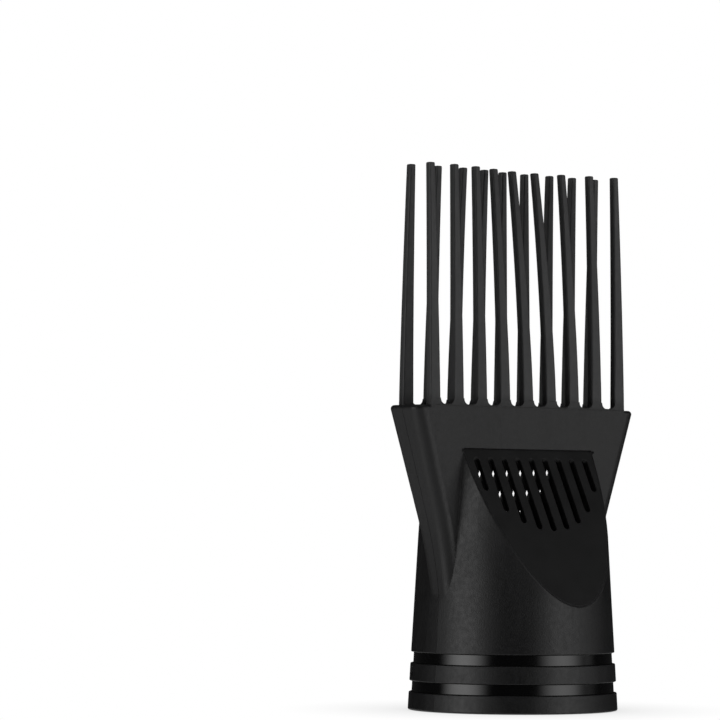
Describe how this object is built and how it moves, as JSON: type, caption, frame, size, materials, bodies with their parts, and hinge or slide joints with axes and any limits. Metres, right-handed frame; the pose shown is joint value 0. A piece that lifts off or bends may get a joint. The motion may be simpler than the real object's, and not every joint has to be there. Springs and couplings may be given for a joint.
{
  "type": "hair dryer comb nozzle",
  "caption": "Push-on nozzle that turns a hair dryer's round outlet into a flat flared duct edged with two rows of long comb teeth, vented through slotted slanted facets.",
  "frame": {"origin": "centre of the collar's rim, in the rim plane", "axes": "+Z along the air flow from the rim to the tooth tips, X along the wide mouth, -Y out of the front face"},
  "size_m": [0.084, 0.06, 0.1544],
  "materials": {
    "shell_plastic": "black, fine satin grain",
    "grille_plastic": "black, flat and slightly duller than the shells",
    "ring_plastic": "black, polished",
    "liner_rubber": "dark grey, dull",
    "pin_plastic": "black, semi-gloss"
  },
  "bodies": {
    "root": {"front_shell": "shell_plastic", "rear_shell": "shell_plastic", "front_vent_grille": "grille_plastic", "rear_vent_grille": "grille_plastic", "lower_snap_ring": "ring_plastic", "upper_snap_ring": "ring_plastic", "grip_liner": "liner_rubber", "lap_pins": "pin_plastic"}
  },
  "joints": []
}
